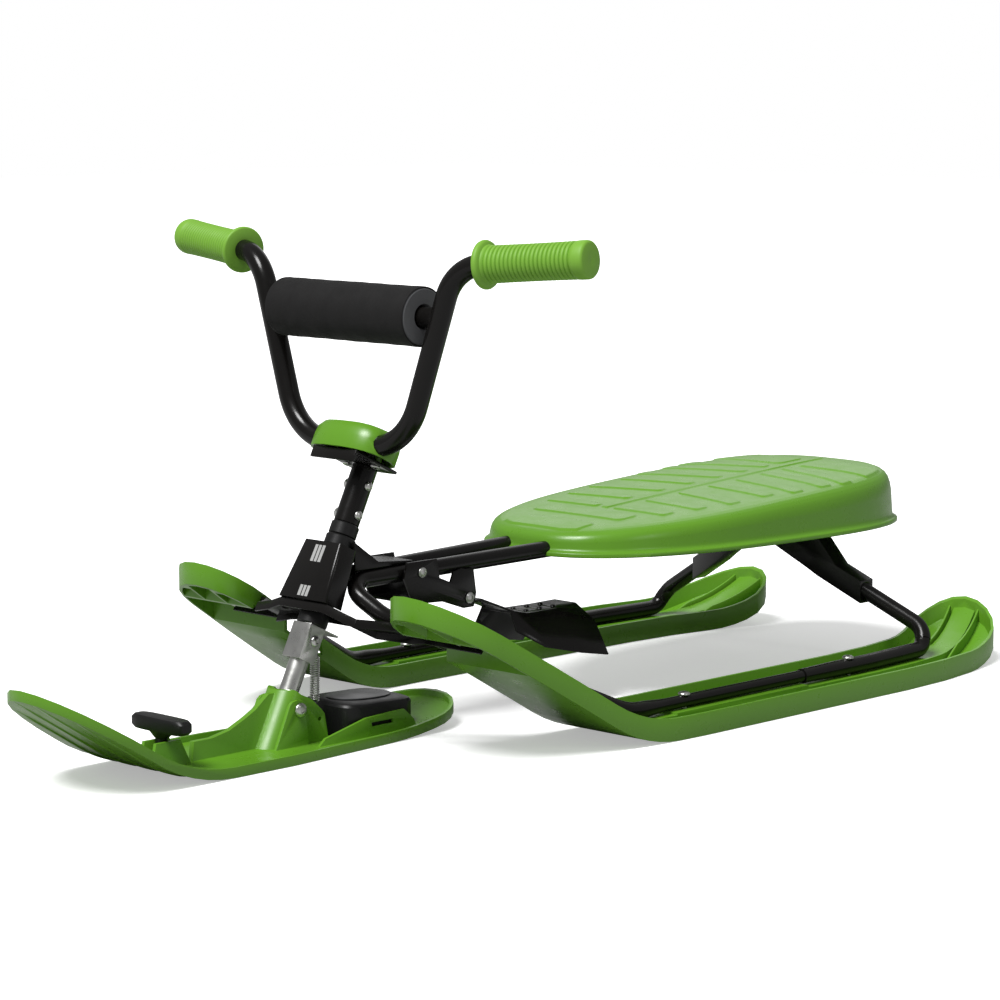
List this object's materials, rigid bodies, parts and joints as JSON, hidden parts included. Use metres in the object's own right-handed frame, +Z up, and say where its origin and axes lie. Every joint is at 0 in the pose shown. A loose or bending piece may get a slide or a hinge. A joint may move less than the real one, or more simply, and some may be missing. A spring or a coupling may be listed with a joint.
{
  "type": "steering sled",
  "caption": "Steerable snow sled with a steel tube frame, two plastic runners, a sprung front ski, seat, handlebar, foot brake and tow reel.",
  "frame": {"origin": "on the ground, under the middle of the sled's bounding box", "axes": "+Z up, -Y the way the sled travels, +X the rider's left"},
  "size_m": [0.5662, 1.185, 0.4879],
  "materials": {
    "green_plastic": "satin moulded",
    "grip_rubber": "soft ribbed",
    "black_paint": "gloss powder coat",
    "black_plastic": "fine grain",
    "grey_badge": "smooth",
    "grey_foam": "open foam",
    "pad_fabric": "woven nylon",
    "zinc_steel": "bright zinc plate"
  },
  "bodies": {
    "frame": {"runner_left": "green_plastic", "runner_right": "green_plastic", "frame_tube_left": "black_paint", "frame_tube_right": "black_paint", "rear_leg_left": "black_paint", "rear_leg_right": "black_paint", "rear_arch": "black_paint", "front_cross_member": "black_paint", "steering_housing": "black_paint", "head_gusset": "black_paint", "head_tube": "black_paint", "upper_bushing": "black_plastic", "lower_bushing": "black_plastic", "arm_bolt_left": "zinc_steel", "arm_bolt_right": "zinc_steel", "tube_bolt_left": "zinc_steel", "tube_bolt_right": "zinc_steel", "leg_bolt_left": "zinc_steel", "leg_bolt_right": "zinc_steel", "bracket_bolt_left": "zinc_steel", "bracket_bolt_right": "zinc_steel", "seat_screw_front_left": "zinc_steel", "seat_screw_front_right": "zinc_steel", "seat_screw_rear_left": "zinc_steel", "seat_screw_rear_right": "zinc_steel", "seat": "green_plastic", "brake_bracket": "black_paint", "brake_axle": "zinc_steel", "brake_axle_nut": "zinc_steel", "brake_spring": "zinc_steel"},
    "steering": {"steering_column": "zinc_steel", "stem_tube": "black_paint", "stem_collar": "black_plastic", "stem_bolt_lower": "zinc_steel", "stem_bolt_upper": "zinc_steel", "stem_nut_lower": "zinc_steel", "stem_nut_upper": "zinc_steel", "handlebar": "black_paint", "crossbar": "black_paint", "pad_foam": "grey_foam", "pad_cover": "pad_fabric", "grip_left": "grip_rubber", "grip_right": "grip_rubber", "clamp_bracket": "black_paint", "clamp_cap": "green_plastic", "clamp_screw_left": "zinc_steel", "clamp_screw_right": "zinc_steel", "fork_bracket": "zinc_steel", "fork_bolt": "zinc_steel", "fork_nut": "zinc_steel", "ski_spring": "zinc_steel"},
    "front_ski": {"front_ski": "green_plastic", "ski_pivot_bolt": "zinc_steel", "ski_pivot_nut": "zinc_steel", "reel_housing": "black_plastic", "reel_badge": "grey_badge", "reel_axle": "zinc_steel"},
    "reel_drum": {"reel_drum": "black_plastic"},
    "tow_handle": {"tow_handle": "black_plastic"},
    "brake": {"brake_pedal": "black_paint"}
  },
  "joints": [
    {"name": "steering", "type": "hinge", "parent": "frame", "child": "steering", "pos_m": [0, -0.3014, 0], "axis": [0, 0.4431, 0.8965], "range_deg": [-30, 30]},
    {"name": "ski_pitch", "type": "hinge", "parent": "steering", "child": "front_ski", "pos_m": [0, -0.28213, 0.039], "axis": [1, 0, 0], "range_deg": [-10, 4], "stiffness_Nm_per_rad": 12, "deforming": ["ski_spring"]},
    {"name": "brake", "type": "hinge", "parent": "frame", "child": "brake", "pos_m": [0, -0.0628, 0.1215], "axis": [-1, 0, 0], "range_deg": [0, 20], "stiffness_Nm_per_rad": 1.2, "springref_deg": -20.05, "deforming": ["brake_spring"]},
    {"name": "tow_handle_lift", "type": "slide", "parent": "front_ski", "child": "tow_handle", "axis": [0, 0, 1], "range_m": [0, 0.025], "stiffness_N_per_m": 40, "springref_m": -0.05},
    {"name": "reel_spin", "type": "hinge", "parent": "front_ski", "child": "reel_drum", "pos_m": [0, -0.185, 0.0155], "axis": [0, 0, 1], "range_deg": [0, 47]}
  ],
  "couplings": [
    {"joint": "reel_spin", "follows": "tow_handle_lift", "rad_per_m": 32.258}
  ]
}
